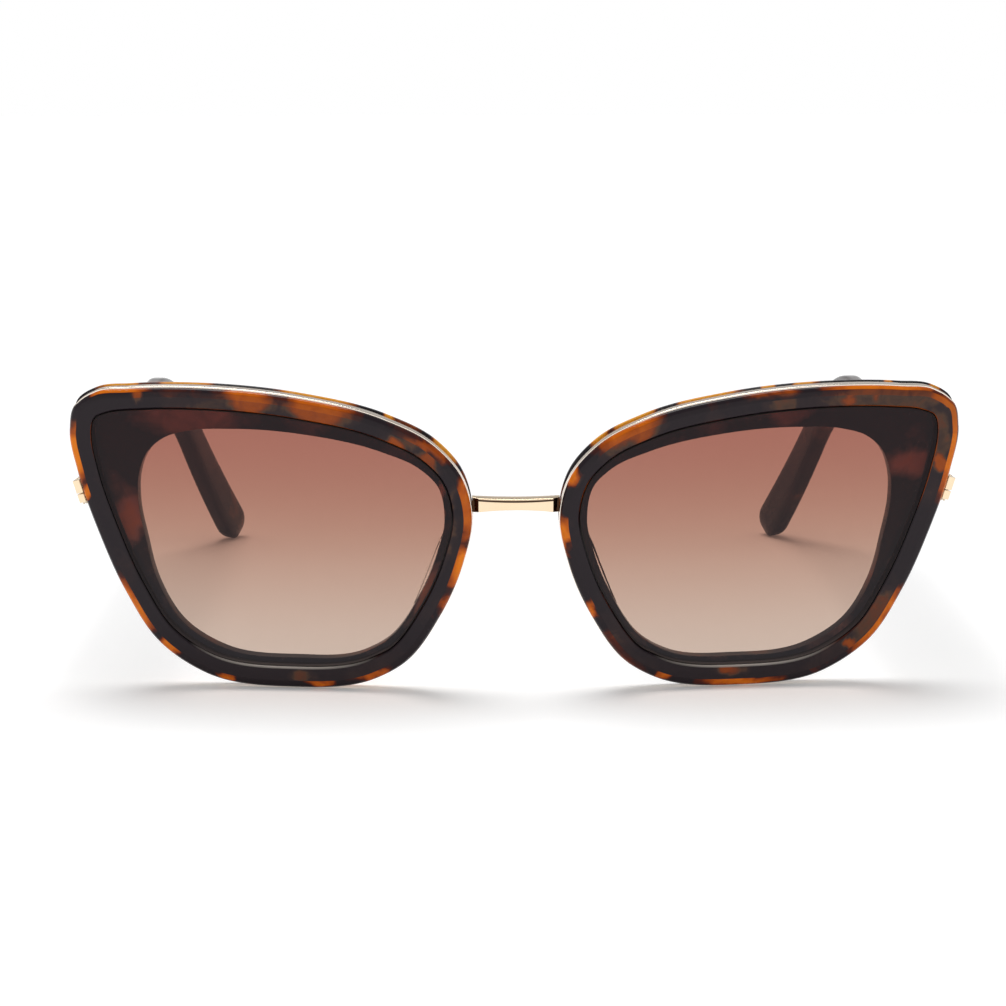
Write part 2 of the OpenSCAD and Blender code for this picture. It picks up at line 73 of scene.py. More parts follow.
opening_outline = [
    (0, 62.8), (2.2, 76.8), (7.9, 84.2), (20, 91.3), (44.6, 98.3), (68.2, 100), (83.2, 98.4), (91, 95),
    (96.4, 88.7), (99.5, 78.6), (100, 66.8), (98, 51), (94.2, 31.2), (86.3, 14), (73, 3.3),
    (48.6, 0), (27, 2.8), (19, 8.6), (8.7, 27.3), (2.8, 45.7)]
spans = len(rim_outline)
rings_per_span = 16
probe = 0.02
lens_chamfer, low_chamfer, low_power = 0.15, 0.2, 4


def scaled(outline, left, bottom, width, height):
    return [Vector((left + x * width / 100, bottom + z * height / 100)) for x, z in outline]


rim_points = scaled(rim_outline, rim_gap / 2, 0, rim_w, rim_h)
opening_points = scaled(
    opening_outline, rim_gap / 2 + back_nose, back_bottom,
    rim_w - back_nose - back_outer, rim_h - back_bottom - back_brow)


def direction(points, i):
    """Direction of the closed curve at its point i, weighted by the spans on either side."""
    a, b, c = (points[k % spans] for k in (i - 1, i, i + 1))
    before, after = (b - a).length, (c - b).length
    return ((b - a) * after / before + (c - b) * before / after) / (before + after)


def along(points, t):
    """Point at t on the smooth closed curve through the points."""
    i = math.floor(t)
    f = t - i
    a, b = points[i % spans], points[(i + 1) % spans]
    d = (b - a).length
    return (a * (2 * f**3 - 3 * f**2 + 1) + b * (3 * f**2 - 2 * f**3)
            + d * direction(points, i) * (f**3 - 2 * f**2 + f)
            + d * direction(points, i + 1) * (f**3 - f**2))


def outward(t, step=probe):
    """Direction straight out of the outline at t."""
    d = (along(rim_points, t + step) - along(rim_points, t - step)).normalized()
    return Vector((-d.y, d.x))


def cornering(u):
    """How far the direction u looks to the upper outer corner, from 0 to 1."""
    return max(0, (u.x + u.y) / math.sqrt(2))**corner_power


def seat_step(u):
    """How far the eyewire's seat stands inside the outline: at the upper corner and above the nose."""
    nosing = max(0, (u.y - u.x) / math.sqrt(2))**nose_power
    return corner_step * cornering(u) + nose_step * nosing


def face_line(t, corner_probe=1.2):
    """Inner edge of the front face; the wide step carries it round the sharp corner."""
    u = outward(t, corner_probe)
    aside = face_outer if u.x > 0 else face_nose
    upright = face_brow if u.y > 0 else face_bottom
    width = u.x**2 * aside + u.y**2 * upright
    return along(rim_points, t) - (width + face_corner * cornering(u)) * u


def face_edge(t):
    """The same edge, filed to a soft arc at the upper outer corner."""
    reach = filed_reach * max(0, 1 - ((t % spans - corner_t) / filed_half)**2)
    places = [t + reach * k / 4 for k in range(-4, 5)]
    return sum((face_line(place) for place in places), Vector((0, 0))) / len(places)


def bent(p, depth):
    """A point of the flat front, so far behind its face, once the front is bent."""
    a = p.x / front_r
    return Vector(((front_r - depth) * math.sin(a), front_r - (front_r - depth) * math.cos(a), p.y))


most_of_edge = 0.45
arc_places = (0, 0.35, 0.65, 1)


def rounded(corners):
    """A closed section from corners (point, radius, cuts in the next edge, zone of that edge)."""
    result = []
    count = len(corners)
    for i, (here, radius, cuts, zone) in enumerate(corners):
        before, after = corners[i - 1][0] - here, corners[(i + 1) % count][0] - here
        zone_before = corners[i - 1][3]
        reach = min(radius, most_of_edge * before.length, most_of_edge * after.length)
        start, end = here + reach * before.normalized(), here + reach * after.normalized()
        if reach > 0.001:
            for f in arc_places:
                p = start * (1 - f)**2 + here * 2 * f * (1 - f) + end * f**2
                result.append((p, zone_before if f < 0.5 else zone))
        else:
            result.append((here, zone))
        following, radius_next = corners[(i + 1) % count][:2]
        reach_next = min(radius_next, most_of_edge * after.length)
        last = following - reach_next * after.normalized()
        for k in range(cuts):
            result.append((end.lerp(last, (k + 1) / (cuts + 1)), zone))
    return result


def rim_section(t):
    """The rim cut across at t, from the bevel round the back to the front face."""
    p, u = along(rim_points, t), outward(t)
    opening, edge = along(opening_points, t), face_edge(t)
    v, inward = (p - opening).normalized(), (p - edge).normalized()
    front = seat_step(u) + front_step + brow_step * max(0, u.y)**2
    floor = seat_step(u) + groove_d
    chamfer = lens_chamfer + low_chamfer * max(0, -u.y)**low_power

    def inside(w, depth):
        return bent(p - w * u, depth)

    return rounded([
        (inside(front + bevel_w, 0), 0.1, 0, "bevel_inner"),
        (inside(front + bevel_w * bevel_round, bevel_d * bevel_round), 0.2, 0, "bevel_outer"),
        (inside(front, bevel_d), 0.14, 1, "bevel_outer"),
        (inside(front, groove_front), groove_round, 0, "groove"),
        (inside(floor, groove_front), 0, 0, "groove"),
        (inside(floor, groove_back), 0, 0, "lip"),
        (inside(0, groove_back), 0.08, 0, "lip"),
        (inside(0, rim_t - back_bevel), back_round, 0, "lip"),
        (inside(back_bevel, rim_t), back_round, 8, "back"),
        (bent(opening + back_bevel * v, rim_t), back_round, 0, "wall"),
        (bent(opening, rim_t - back_bevel), back_round, 1, "wall"),
        (bent(opening, rebate), groove_round, 8, "shelf"),
        (bent(edge, rebate), 0, 1, "recess"),
        (bent(edge, chamfer), 0, 0, "rim_line"),
        (bent(edge + chamfer * inward, 0), 0, 9, "face")])


rim_sections = [rim_section(i / rings_per_span) for i in range(spans * rings_per_span)]

# The stance: the hinge axis gives the tilt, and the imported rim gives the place.
right_fold = next(j for j in frame["joints"] if j["name"] == "right_temple_fold")
tilt = math.atan2(-right_fold["axis"][1], right_fold["axis"][2])
tilted = Matrix.Rotation(tilt, 4, "X") @ Matrix.Scale(0.001, 4)
tilted_points = [tilted @ p for section in rim_sections for p, zone in section]
low, high = (Vector(corner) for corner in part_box("right_rim"))
drawn_low = Vector([min(p[k] for p in tilted_points) for k in range(3)])
drawn_high = Vector([max(p[k] for p in tilted_points) for k in range(3)])
shift = (low + high - drawn_low - drawn_high) / 2
stance = Matrix.Translation((0, shift.y, shift.z)) @ tilted


def skinned(name, rings, side=1, closed=False, fields=None, sharp=38):
    """A piece skinned over rings of points, mirrored for side -1, with its named surface fields."""
    count, across = len(rings), len(rings[0])
    mirror = Matrix.Diagonal((side, 1, 1, 1))
    points = [stance @ (mirror @ p) for ring in rings for p in ring]
    faces = []
    for i in range(count if closed else count - 1):
        here, there = i * across, (i + 1) % count * across
        for j in range(across):
            k = (j + 1) % across
            faces.append((here + j, here + k, there + k, there + j))
    if not closed:
        faces.append(tuple(reversed(range(across))))
        faces.append(tuple(range((count - 1) * across, count * across)))
    mesh = bpy.data.meshes.new(name)
    mesh.from_pydata(points, [], faces)
    for field, values in (fields or {}).items():
        mesh.attributes.new(field, "FLOAT", "POINT").data.foreach_set("value", values)
    shape = bmesh.new()
    shape.from_mesh(mesh)
    bmesh.ops.recalc_face_normals(shape, faces=shape.faces)
    shape.to_mesh(mesh)
    shape.free()
    return smoothed(name, mesh, sharp)


def smoothed(name, mesh, sharp):
    """A piece of this mesh, smooth except at edges sharper than so many degrees."""
    mesh.shade_smooth()
    mesh.set_sharp_from_angle(angle=math.radians(sharp))
    piece = bpy.data.objects.new(name, mesh)
    bpy.context.collection.objects.link(piece)
    piece.modifiers.new("even_shine", "WEIGHTED_NORMAL").keep_sharp = True
    return piece


class Socket:
    """One output in a material's nodes. Arithmetic on it adds Math nodes."""

    def __init__(self, tree, link=None):
        self.tree, self.link = tree, link

    def node(self, kind, settings=None, sockets=None, output=0):
        made = self.tree.nodes.new(kind)
        for name, value in (settings or {}).items():
            if name == "stops":
                ramp = made.color_ramp
                while len(ramp.elements) < len(value):
                    ramp.elements.new(0.5)
                for element, (place, colour) in zip(ramp.elements, value):
                    element.position = place
                    element.color = (*colour, 1)
            else:
                setattr(made, name, value)
        for name, value in (sockets or {}).items():
            self.feed(made, name, value)
        return Socket(self.tree, made.outputs[output])

    def feed(self, made, name, value):
        if isinstance(value, Socket):
            self.tree.links.new(value.link, made.inputs[name])
        else:
            made.inputs[name].default_value = value

    def math(self, operation, a, b):
        return self.node("ShaderNodeMath", {"operation": operation}, {0: a, 1: b})

    def __add__(self, other):
        return self.math("ADD", self, other)

    def __sub__(self, other):
        return self.math("SUBTRACT", self, other)

    def __rsub__(self, other):
        return self.math("SUBTRACT", other, self)

    def __mul__(self, other):
        return self.math("MULTIPLY", self, other)

    __radd__, __rmul__ = __add__, __mul__

    def clipped(self, low=0, high=1):
        return self.math("MINIMUM", self.math("MAXIMUM", self, low), high)

    def ramp(self, stops, interpolation="LINEAR"):
        made = self.node("ShaderNodeValToRGB", {"stops": stops}, {0: self})
        made.link.node.color_ramp.interpolation = interpolation
        return made

    def mixed(self, a, b):
        """Colour a where this is 0 and b where it is 1."""
        return self.node("ShaderNodeMix", {"data_type": "RGBA"}, {0: self, 6: a, 7: b}, output=2)

    def field(self, name):
        return self.node("ShaderNodeAttribute", {"attribute_name": name}, output="Fac")

    def cloud(self, scale, detail=2.0, stretch=(1, 1, 1), distortion=0.0):
        """Noise over the piece, in features per metre, stretched along its axes."""
        place = self.node("ShaderNodeTexCoord", output="Object")
        placed = self.node("ShaderNodeMapping", sockets={"Vector": place, "Scale": stretch})
        return self.node("ShaderNodeTexNoise", sockets={
            "Vector": placed, "Scale": scale, "Detail": detail, "Distortion": distortion})

    def bump(self, height, strength, distance):
        return self.node("ShaderNodeBump", sockets={
            "Height": height, "Strength": strength, "Distance": distance})


def new_finish(name):
    """A material, its Principled shader and a socket to start its nodes from."""
    material = bpy.data.materials.new(name)
    material.use_nodes = True
    tree = material.node_tree
    return material, tree.nodes["Principled BSDF"], Socket(tree)


# Tortoiseshell: amber seen through near black. Where a polished edge lets the light through, that glow
# is
# painted in: the bevel and lip colours are painted brighter than the face. Fields of the mesh say how
# much amber there is, how much painted edge glow there is, what lies under the lens and is painted
# lighter, and where a painted highlight lies on the edge beside the lens.
tortoise, shader, start = new_finish("tortoiseshell_acetate")
mottle = start.cloud(330, detail=4, distortion=0.8)
amber = start.field("amber") + (mottle - 0.5) * 0.36
face_colour = amber.ramp([
    (0.22, (0.0195, 0.0125, 0.0165)), (0.41, (0.034, 0.019, 0.020)), (0.50, (0.084, 0.042, 0.026)),
    (0.58, (0.135, 0.037, 0.016)), (0.66, (0.240, 0.046, 0.008)), (0.78, (0.340, 0.064, 0.005))])
# The sheet under the lens has its amber, painted lighter than the face: painted light making up for
# what the lens holds back.
shelf_colour_lit = amber.ramp([
    (0.26, (0.012, 0.012, 0.022)), (0.44, (0.150, 0.085, 0.080)), (0.62, (0.400, 0.200, 0.170)),
    (0.90, (0.600, 0.220, 0.105))])
# The bevel and lip ramps are painted brighter than the face: painted glow of light through the thin
# polished edge.
bevel_glow_colour = amber.ramp([
    (0.30, (0.0180, 0.0115, 0.0150)), (0.43, (0.095, 0.015, 0.006)), (0.54, (0.330, 0.056, 0.003)),
    (0.72, (0.560, 0.106, 0.003)), (1.0, (0.900, 0.225, 0.004))])
lip_glow_colour = amber.ramp([
    (0.30, (0.009, 0.006, 0.010)), (0.44, (0.200, 0.036, 0.004)), (0.58, (0.700, 0.230, 0.010)),
    (0.85, (0.840, 0.350, 0.020))])
# The edge field lays the painted edge glow over the face colour: half on the bevels, fully on the lip.
edge = start.field("edge") * 2
flat_colour = start.field("under").mixed(face_colour, shelf_colour_lit)
glow_colour = edge.clipped().mixed(flat_colour, bevel_glow_colour)
sheet_colour = (edge - 1).clipped().mixed(glow_colour, lip_glow_colour)
# A pale painted highlight on the edge below the lens, where it catches the light.
start.feed(shader, "Base Color", start.field("glint").mixed(sheet_colour, (0.950, 0.860, 0.780, 1)))
start.feed(shader, "Roughness", 0.05 + 0.07 * start.cloud(900, detail=4))
start.feed(shader, "Normal", start.bump(start.cloud(260), 0.06, 0.0004))
shader.inputs["IOR"].default_value = 1.48
shader.inputs["Specular IOR Level"].default_value = 0.22

# Amber patches of the sheet: place from the middle and above the bottom, half sizes, turn in
# degrees, the zones where they show (bevel is both its zones), and how strong they are.
left_patches = [
    (62.7, 48.6, 5.2, 3.4, 0, "bevel_outer", 0.86), (59.6, 47.5, 1.1, 1.3, 0, "bevel_inner face", 0.75),
    (41.9, 47.2, 4.3, 3.0, 10, "bevel face", 0.76), (30.9, 46.0, 6.2, 3.2, 12, "bevel face", 0.76),
    (18.8, 40.6, 2.1, 1.7, 35, "face", 0.8), (13.2, 39.8, 3.8, 1.4, 45, "bevel", 0.54),
    (69.2, 37.6, 2.4, 4.9, 0, "bevel", 1), (68.0, 31.3, 1.3, 1.6, 0, "bevel", 0.9),
    (7.6, 31.0, 2.5, 6.6, 0, "bevel", 0.78), (8.8, 20.9, 1.8, 3.9, 12, "bevel", 1),
    (60.9, 12.8, 2.1, 5.3, -28, "bevel", 0.85), (55.2, 6.5, 2.2, 1.7, 0, "bevel", 0.9),
    (33.8, 2.2, 2.2, 1.4, 0, "face", 0.55), (31.4, 0.8, 2.2, 0.8, 0, "bevel", 0.9),
    (46.6, 1.8, 1.5, 0.9, 0, "bevel", 0.8), (22.9, 2.4, 2.7, 0.9, -8, "bevel", 0.72),
    (61.7, 26.6, 2.6, 5.0, 14, "shelf", 0.8), (51.5, 44.2, 10, 4.2, 0, "shelf", 0.58),
    (11.9, 31.0, 0.9, 7.0, 8, "shelf", 0.75), (14.2, 15.0, 1.5, 6.0, 25, "shelf", 0.8),
    (62.2, 48, 3.0, 4, 0, "lip", 1), (51.9, 48, 4.4, 4, 0, "lip", 1), (31.8, 46, 6.2, 4, 0, "lip", 1),
    (19.6, 43, 1.0, 4, 0, "lip", 1), (11.4, 40, 2.2, 5, 0, "lip", 0.9),
    (31, 44, 26, 6, 0, "rim_line", 0.5), (68.0, 40, 2.5, 5, 0, "rim_line", 0.5),
    (10.8, 13.8, 1.6, 2.6, 25, "bevel", 0.62),
    (13.8, 37.7, 3.0, 1.6, 42, "face", 0.66), (10.4, 28.0, 1.3, 9, 8, "face", 0.47),
    (16, 19, 2.0, 4, 30, "face", 0.42)]
right_patches = [
    (18.1, 42.7, 6.0, 2.7, 26, "bevel face", 0.76), (8.6, 35.6, 1.5, 2.2, -20, "bevel face", 0.9),
    (7.4, 25.8, 1.2, 3.9, 0, "bevel", 0.9), (12.3, 13.8, 1.0, 1.9, 0, "bevel", 0.8),
    (58.8, 48.6, 11.2, 2.2, 0, "bevel_outer", 0.85), (68.6, 40.5, 3.6, 12.0, 0, "bevel_inner", 0.85),
    (69.0, 33.5, 3.4, 5.8, 0, "bevel_outer", 0.85), (69.0, 44.0, 3.4, 6.0, 0, "bevel_outer", 0.46),
    (60.0, 46.5, 15, 4.0, 0, "face bevel_inner", 0.51), (67.0, 40.0, 2.6, 8.0, 8, "face", 0.5),
    (52.8, 47.1, 0.9, 2.0, -24, "face", 0.68), (57.2, 47.2, 0.9, 2.0, -24, "face", 0.68),
    (38.9, 48.3, 7.4, 1.6, 3, "bevel", 0.50), (41.5, 46.3, 3.4, 1.6, 0, "face", 0.50),
    (67.7, 35.5, 1.1, 1.8, 0, "face", 0.9), (34.4, 3.0, 2.6, 1.2, 0, "face", 0.68),
    (24.7, 2.3, 2.8, 0.9, 0, "bevel", 0.76), (36.1, 1.2, 6.8, 0.9, 0, "bevel", 0.9),
    (57.7, 10.3, 6.8, 2.2, 52, "bevel", 0.85), (57.2, 10.9, 7.0, 2.6, 52, "face", 0.56),
    (53.2, 6.3, 0.9, 0.9, 0, "face", 0.8),
    (63.0, 35.6, 5.2, 2.8, 0, "shelf", 0.64), (43.0, 44.8, 5.6, 2.4, 0, "shelf", 0.48),
    (13.0, 43, 1.8, 5, 0, "lip", 0.8), (18.6, 44, 3.1, 4, 0, "lip", 1), (30.3, 46, 5.1, 4, 0, "lip", 1),
    (40.1, 48, 0.8, 4, 0, "lip", 1), (45.6, 49, 1.4, 4, 0, "lip", 1), (58.4, 49, 0.9, 4, 0, "lip", 0.8),
    (66.6, 47, 1.4, 3, 0, "lip", 0.8),
    (60, 44.5, 11, 5, 0, "rim_line", 0.62), (65.5, 36, 3, 9, 0, "rim_line", 0.62),
    (12, 32, 3, 5, 0, "rim_line", 0.7), (16, 16, 3, 4, 0, "rim_line", 0.6)]
patched_zones, patched_lip = ("bevel_inner", "bevel_outer", "face", "shelf", "rim_line"), 36
glow_of_zone = {"bevel_inner": 0.5, "bevel_outer": 0.5, "lip": 1.0, "rim_line": 0.5}
plain_zones = ("groove", "recess")

# Clouds of the sheet and ragged edges of the patches: pairs of a wave's height and its pitch per mm.
sheet_mean, sheet_along, sheet_up, sheet_clouds = 0.42, 0.11, 0.15, ((0.42, 1), (0.14, 3))
dark_mean, dark_clouds = 0.22, ((0.30, 0.09), (0.14, 0.27))
ragged_along, ragged_up = ((1.1, 0.28), (0.7, 0.7), (0.2, 1.3)), ((0.8, 0.28), (0.6, 0.7), (0.2, 1.3))
ragged_apart = Vector((9, 17, 31))
patch_fade = 1.5
brow_z, brow_fade = 40, 3
glint_x, glint_half, glint_top = 37, 15, 12


def clouded(value, p, clouds):
    for height, pitch in clouds:
        value += height * noise.noise(p * pitch)
    return value


def sheet_amber(p, seed):
    """Amber of the plain sheet, where no patch is placed: wide soft clouds."""
    q = Vector((p.x * sheet_along + seed, p.y * sheet_along, p.z * sheet_up))
    return clouded(sheet_mean, q, sheet_clouds)


def patch_amber(p, zone, patches, seed):
    """Amber where patches are placed: the strongest of them at this point, with ragged edges."""
    wander = Vector((p.x, p.y, p.z + seed))
    x = clouded(p.x, wander, ragged_along)
    z = clouded(p.z, wander + ragged_apart, ragged_up)
    most = clouded(dark_mean, wander, dark_clouds)
    for out, up, half_w, half_h, turn, zones, strength in patches:
        if any(zone.startswith(kind) for kind in zones.split()):
            a = math.radians(turn)
            dx, dz = x - out, z - up
            d = math.hypot((dx * math.cos(a) + dz * math.sin(a)) / half_w,
                           (dz * math.cos(a) - dx * math.sin(a)) / half_h)
            most = max(most, strength * min(1, max(0, patch_fade - d)))
    return most


def painted_edge_glow(p, zone):
    """How much painted glow of a polished edge a zone gets. The bevel of the brow fades into the face
    below it.
    """
    brow = min(1, max(0, (p.z - brow_z) / brow_fade)) if zone == "bevel_inner" else 0
    return glow_of_zone.get(zone, 0) * (1 - brow / 2)


def painted_rim_glint(p, zone):
    """Painted highlight where the edge below the lens catches the light, most in the middle."""
    lit = zone == "rim_line" and p.z < glint_top
    return max(0, 1 - ((p.x - glint_x) / glint_half)**2) if lit else 0


for name, side, patches, seed in (("left", -1, left_patches, 3), ("right", 1, right_patches, 40)):
    fields = {"amber": [], "edge": [], "under": [], "glint": []}
    for section in rim_sections:
        for p, zone in section:
            shown = zone in patched_zones or (zone == "lip" and p.z > patched_lip)
            fields["amber"].append(patch_amber(p, zone, patches, seed) if shown
                                   else 0 if zone in plain_zones else sheet_amber(p, seed))
            # Painted edge glow, the shelf painted lighter under the lens, and the painted highlight
            # below the lens.
            fields["edge"].append(painted_edge_glow(p, zone))
            fields["under"].append(1 if zone == "shelf" else 0)
            fields["glint"].append(painted_rim_glint(p, zone))
    rim = skinned(name + "_rim_acetate", [[p for p, zone in section] for section in rim_sections],
                  side, closed=True, fields=fields)
    rim.data.materials.append(tortoise)
    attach(rim, "front")
    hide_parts(name + "_rim")

# LENSES
# Flat-edged plastic lenses, pressed into the rebate from the front so that they lie level with the
# rim. They are dyed by slow dipping, so the brown is deep at the brow and pale at the cheek.
lens_edge_round = 0.12
lens_shares = (0.04, 0.2, 0.4, 0.6, 0.78, 0.9, 0.97)
lens_middle = Vector((rim_gap / 2 + rim_w / 2, rim_h / 2))


def lens_edge(t, step=probe):
    """Edge of the lens, a small gap inside the rim's front face."""
    d = (face_edge(t + step) - face_edge(t - step)).normalized()
    return face_edge(t) + lens_gap * Vector((d.y, -d.x))


lens_edges = [lens_edge(i / rings_per_span) for i in range(spans * rings_per_span)]


def lens_ring(share, depth, inset=0.0):
    """A ring of the lens: a share of the way from its middle to its edge."""
    result = []
    for p in lens_edges:
        arm = p - lens_middle
        result.append(bent(lens_middle + arm * share - inset * arm.normalized(), depth))
    return result


lens_front, lens_rear = lens_set, lens_set + lens_t
lens_rings = [lens_ring(share, lens_rear) for share in lens_shares]
lens_rings += [lens_ring(1, lens_rear, lens_edge_round), lens_ring(1, lens_rear - lens_edge_round),
               lens_ring(1, lens_front + lens_edge_round), lens_ring(1, lens_front, lens_edge_round)]
lens_rings += [lens_ring(share, lens_front) for share in reversed(lens_shares)]


def any_ray(start, kinds):
    """1 for a ray of any of these kinds, otherwise 0."""
    found = [start.node("ShaderNodeLightPath", output=kind) for kind in kinds]
    return sum(found[1:], found[0]).clipped()


def let_through(start, shader, kinds, colour):
    """Rays of these kinds pass straight through a clear finish, in this colour."""
    passed = start.node("ShaderNodeBsdfTransparent", sockets={"Color": colour})
    glass = Socket(start.tree, shader.outputs[0])
    surface = start.node("ShaderNodeMixShader", sockets={0: any_ray(start, kinds), 1: glass, 2: passed})
    start.feed(start.tree.nodes["Material Output"], "Surface", surface)


tinted, shader, start = new_finish("dip_dyed_lens")
tint = start.field("height").ramp([
    (0.14, (0.580, 0.462, 0.386)), (0.42, (0.465, 0.280, 0.206)), (0.63, (0.372, 0.172, 0.122)),
    (0.84, (0.335, 0.124, 0.090))], "B_SPLINE")
start.feed(shader, "Base Color", tint)
start.feed(shader, "Roughness", 0.004 + 0.008 * start.cloud(500))
shader.inputs["Transmission Weight"].default_value = 1
shader.inputs["IOR"].default_value = 1.01
# A faint even glow over the lens is a painted reflection of the white room round it.
shader.inputs["Emission Color"].default_value = (0.0140, 0.0135, 0.0150, 1)
shader.inputs["Emission Strength"].default_value = 1
tinted.cycles.emission_sampling = "NONE"
let_through(start, shader, ("Is Shadow Ray", "Is Diffuse Ray"), (0.86, 0.80, 0.77, 1))

ground, shader, start = new_finish("ground_lens_edge")
start.feed(shader, "Base Color", start.cloud(2500, detail=3).mixed(
    (0.010, 0.006, 0.005, 1), (0.022, 0.012, 0.009, 1)))
start.feed(shader, "Roughness", 0.55 + 0.2 * start.cloud(4000))

for name, side in (("left", -1), ("right", 1)):
    heights = [p.z / rim_h for ring in lens_rings for p in ring]
    lens = skinned(name + "_lens_tinted", lens_rings, side, fields={"height": heights})
    lens.data.materials.append(tinted)
    lens.data.materials.append(ground)
    around = len(lens_edges)
    for k in (len(lens_shares), len(lens_shares) + 1, len(lens_shares) + 2):
        for face in lens.data.polygons[k * around:(k + 1) * around]:
            face.material_index = 1
    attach(lens, "front")
    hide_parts(name + "_lens")

# EYEWIRES
# Flat drawn wire, bent to the outline and laid in the groove, plated in gold and polished; its gold is
# painted paler than the bridge's, a painted highlight.
# Each is open at the temple side, where the lock draws it closed round the acetate.
split_gap, lock_z, wire_round = 0.2, 31, 0.14
halvings = 24


def reach(z, low_t, high_t):
    """Where the outline reaches the height z between two of its points, by halving."""
    rising = along(rim_points, high_t).y > along(rim_points, low_t).y
    for _ in range(halvings):
        mid = (low_t + high_t) / 2
        if (along(rim_points, mid).y < z) == rising:
            low_t = mid
        else:
            high_t = mid
    return (low_t + high_t) / 2


top_t, bottom_t = 5, 15
lock_t = reach(lock_z, top_t, bottom_t)
step_length = (along(rim_points, lock_t + probe) - along(rim_points, lock_t - probe)).length
wire_open = split_gap * probe / step_length
wire_count = spans * rings_per_span


def wire_section(t):
    p, u = along(rim_points, t), outward(t)
    outer = seat_step(u) - wire_proud
    corners = ((outer, wire_back), (outer, wire_back + wire_w),
               (outer + wire_h, wire_back + wire_w), (outer + wire_h, wire_back))
    section = rounded([(bent(p - w * u, depth), wire_round, 1, "") for w, depth in corners])
    return [q for q, zone in section]


def gold_plate(name, deep, pale):
    """Polished plate between two golds; where the field shade is set, a painted dark reflection turns
    it dark brown.
    """
    material, shader, start = new_finish(name)
    polish = start.cloud(700, detail=5, stretch=(1, 1, 3))
    plate = start.cloud(160, detail=3).mixed(deep, pale)
    start.feed(shader, "Base Color", start.field("shade").mixed(plate, (0.055, 0.030, 0.018, 1)))
    start.feed(shader, "Roughness", 0.12 + 0.08 * polish)
    start.feed(shader, "Normal", start.bump(polish, 0.012, 0.0001))
    shader.inputs["Metallic"].default_value = 1
    return material


# The eyewire's gold is paler than the bridge's: a painted highlight for the light on its narrow
# polished face.
wire_gold = gold_plate("wire_gold_painted_pale", (0.995, 0.868, 0.735, 1), (1.000, 0.900, 0.800, 1))
gold = gold_plate("gold_plate", (0.960, 0.740, 0.500, 1), (0.985, 0.790, 0.560, 1))
wire_from, wire_to = lock_t + wire_open, lock_t + spans - wire_open
wire_rings = [
    wire_section(wire_from + (wire_to - wire_from) * i / wire_count) for i in range(wire_count + 1)]
for name, side in (("left", -1), ("right", 1)):
    wire = skinned(name + "_eyewire_gold", wire_rings, side)
    wire.data.materials.append(wire_gold)
    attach(wire, "front")
    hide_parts(name + "_eyewire")

# BRIDGE
# A bar of the same gold plated metal, brazed between the eyewires: flat in front with a bevel at
# each end, arched below and a little hollow on top. The bevels and a line below the top carry a painted
# dark reflection.
bridge_z, bridge_h, bridge_w, bridge_gap = 30.6, 2.4, 1.8, 0.1
bridge_arch, bridge_dip, bridge_bevel_l, bridge_bevel_d = 0.4, 0.2, 0.8, 0.5
bridge_edge, bridge_steps, bridge_ends = 0.12, 24, (0.06, 0.5, 1, 1.3)
line_drop, line_sag, line_h, line_fade = 0.06, 0.12, 0.22, 0.30
bevel_start = 0.02


def nose_x(z):
    """How far from the middle the eyewire stands beside the nose at the height z."""
    t = reach(z, bottom_t, top_t + spans)
    return bent(along(rim_points, t) + wire_proud * outward(t), wire_back).x


bridge_end = min(nose_x(bridge_z + k * bridge_h / 2) for k in (-1, 0, 1)) - bridge_gap
bridge_flat = bridge_end - bridge_bevel_l
bridge_y = wire_back + wire_w / 2


def bridge_section(x):
    hollow = 1 - (x / bridge_end)**2
    top = bridge_z + bridge_h / 2 - bridge_dip * hollow
    bottom = bridge_z - bridge_h / 2 + bridge_arch * hollow
    front = bridge_y - bridge_w / 2 + bridge_bevel_d * max(0, abs(x) - bridge_flat) / bridge_bevel_l
    rear = bridge_y + bridge_w / 2
    line = top - bridge_edge - line_drop - line_sag * hollow
    return rounded([
        (Vector((x, front, bottom)), bridge_edge, 1, "under"),
        (Vector((x, rear, bottom)), bridge_edge, 1, "rear"),
        (Vector((x, rear, top)), bridge_edge, 1, "top"),
        (Vector((x, front, top)), bridge_edge, 0, "front"),
        (Vector((x, front, line)), 0, 0, "line"),
        (Vector((x, front, line - line_h)), 0, 0, "line"),
        (Vector((x, front, line - line_fade)), 0, 1, "front")])


bridge_half = [bridge_flat * i / bridge_steps for i in range(bridge_steps + 1)]
bridge_half += [bridge_flat + bridge_bevel_l * f for f in bridge_ends]
bridge_places = [-x for x in reversed(bridge_half[1:])] + bridge_half
bridge_sections = [(x, bridge_section(x)) for x in bridge_places]
# Painted dark reflection on the line below the top and on the end bevels.
dark_reflections = [1 if zone == "line" or (zone == "front" and abs(x) > bridge_flat + bevel_start) else 0
          for x, section in bridge_sections for p, zone in section]
bridge = skinned("bridge_bar_gold", [[p for p, zone in section] for x, section in bridge_sections],
                 fields={"shade": dark_reflections})
bridge.data.materials.append(gold)
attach(bridge, "front")
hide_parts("bridge")

# LOCKS, ENDPIECES, HINGE LEAVES AND SCREWS
# Small milled and stamped metal pieces: the lock halves and the endpiece are brazed to the eyewire,
# the leaf caps the temple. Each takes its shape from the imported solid, with its edges broken.
fitting_round, screw_round = 0.00012, 0.00006
flat_within, edge_from = math.radians(1), math.radians(35)


